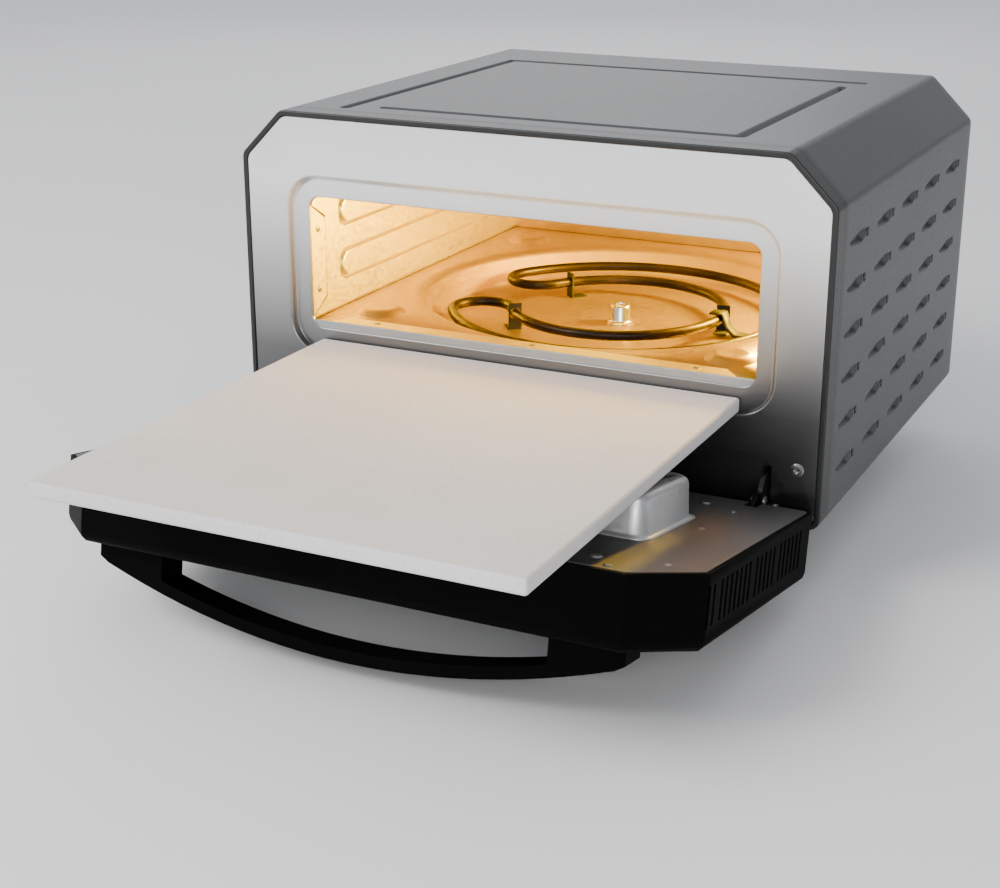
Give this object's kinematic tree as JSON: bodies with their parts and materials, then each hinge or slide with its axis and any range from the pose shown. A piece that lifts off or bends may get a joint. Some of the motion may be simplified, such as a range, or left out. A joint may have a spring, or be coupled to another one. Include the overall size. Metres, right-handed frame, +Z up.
{
  "type": "countertop pizza oven",
  "caption": "Countertop pizza oven with a chamfered sheet-metal body, lit cavity, drop-down door with a bow handle, and a flat baking stone.",
  "frame": {"origin": "on the surface that the oven stands on, below the middle of the oven's whole extent with the door open and the stone drawn out", "axes": "+X to the oven's right as seen from the front, +Y to the rear, +Z up"},
  "size_m": [0.43, 0.6948, 0.2873],
  "materials": {
    "grey_paint": "satin powder coat",
    "dark_paint": "satin powder coat",
    "brushed_steel": "brushed",
    "galvanised_steel": "galvanised",
    "cavity_steel": "aluminised",
    "element_sheath": "heat-darkened",
    "probe_steel": "polished",
    "clip_steel": "heat-darkened",
    "lamp_glass": "clear",
    "bulb_glass": "clear",
    "ceramic": "unglazed",
    "mineral_wool": "matt fibre",
    "rubber": "matt",
    "screw_steel": "satin",
    "hinge_steel": "dark coated",
    "cordierite_stone": "fine-grained, matt",
    "door_plastic": "fine texture",
    "door_steel": "brushed",
    "liner_steel": "satin",
    "window_glass": "clear",
    "tinted_glass": "tinted",
    "handle_plastic": "fine texture",
    "fascia_glass": "gloss black",
    "display_window": "gloss",
    "circuit_board": "solder resist",
    "dial_metal": "spun satin",
    "button_metal": "satin",
    "foot_plastic": "fine texture"
  },
  "bodies": {
    "oven": {"outer_housing": "grey_paint", "front_bezel": "dark_paint", "front_panel": "brushed_steel", "rear_panel": "dark_paint", "base_pan": "galvanised_steel", "cavity_floor": "cavity_steel", "cavity_wall_left": "cavity_steel", "cavity_wall_right": "cavity_steel", "cavity_ceiling": "cavity_steel", "cavity_back_wall": "cavity_steel", "lower_element": "element_sheath", "upper_element": "element_sheath", "temperature_probe": "probe_steel", "lamp_lens": "lamp_glass", "lamp_bulb": "bulb_glass", "lamp_holder": "ceramic", "insulation_top": "mineral_wool", "insulation_rear": "mineral_wool", "thermal_cutout": "ceramic", "terminal_block": "ceramic", "cord_gland": "rubber", "panel_screw_left": "screw_steel", "panel_screw_right": "screw_steel", "hinge_bracket_left": "hinge_steel", "hinge_bracket_right": "hinge_steel", "foot_front_left": "foot_plastic", "foot_pad_front_left": "rubber", "foot_front_right": "foot_plastic", "foot_pad_front_right": "rubber", "foot_rear_left": "foot_plastic", "foot_pad_rear_left": "rubber", "foot_rear_right": "foot_plastic", "foot_pad_rear_right": "rubber", "lower_clip_left_rear": "clip_steel", "lower_clip_left_front": "clip_steel", "lower_clip_right": "clip_steel", "upper_clip_left_rear": "clip_steel", "upper_clip_left_front": "clip_steel", "upper_clip_right": "clip_steel"},
    "door": {"door_shell": "door_plastic", "door_inner_plate": "door_steel", "door_liner": "liner_steel", "inner_window_glass": "window_glass", "outer_window_glass": "tinted_glass", "handle": "handle_plastic", "control_fascia": "fascia_glass", "display": "display_window", "control_board": "circuit_board", "hinge_arm_left": "hinge_steel", "hinge_arm_right": "hinge_steel", "door_screw_handle_left": "screw_steel", "door_screw_handle_right": "screw_steel", "door_screw_hinge_left": "screw_steel", "door_screw_hinge_right": "screw_steel"},
    "dial": {"dial_knob": "dial_metal"},
    "button_1": {"button_1": "button_metal"},
    "button_2": {"button_2": "button_metal"},
    "button_3": {"button_3": "button_metal"},
    "stone": {"pizza_stone": "cordierite_stone"}
  },
  "joints": [
    {"name": "door_hinge", "type": "hinge", "parent": "oven", "child": "door", "pos_m": [0, -0.03635, 0.062], "axis": [1, 0, 0], "range_deg": [-80, 0]},
    {"name": "stone_lift", "type": "slide", "parent": "oven", "child": "stone", "axis": [0, -0.0872, 0.9962], "range_m": [0, 0.356]},
    {"name": "dial_turn", "type": "hinge", "parent": "door", "child": "dial", "pos_m": [0.1, -0.08463, 0.02431], "axis": [0, -0.1736, -0.9848], "continuous": true},
    {"name": "button_1_press", "type": "slide", "parent": "door", "child": "button_1", "axis": [0, 0.1736, 0.9848], "range_m": [0, 0.001], "stiffness_N_per_m": 200, "springref_m": -0.001},
    {"name": "button_2_press", "type": "slide", "parent": "door", "child": "button_2", "axis": [0, 0.1736, 0.9848], "range_m": [0, 0.001], "stiffness_N_per_m": 200, "springref_m": -0.001},
    {"name": "button_3_press", "type": "slide", "parent": "door", "child": "button_3", "axis": [0, 0.1736, 0.9848], "range_m": [0, 0.001], "stiffness_N_per_m": 200, "springref_m": -0.001}
  ],
  "couplings": [
    {"joint": "stone_lift", "follows": "door_hinge", "m_per_rad": -0.252}
  ]
}
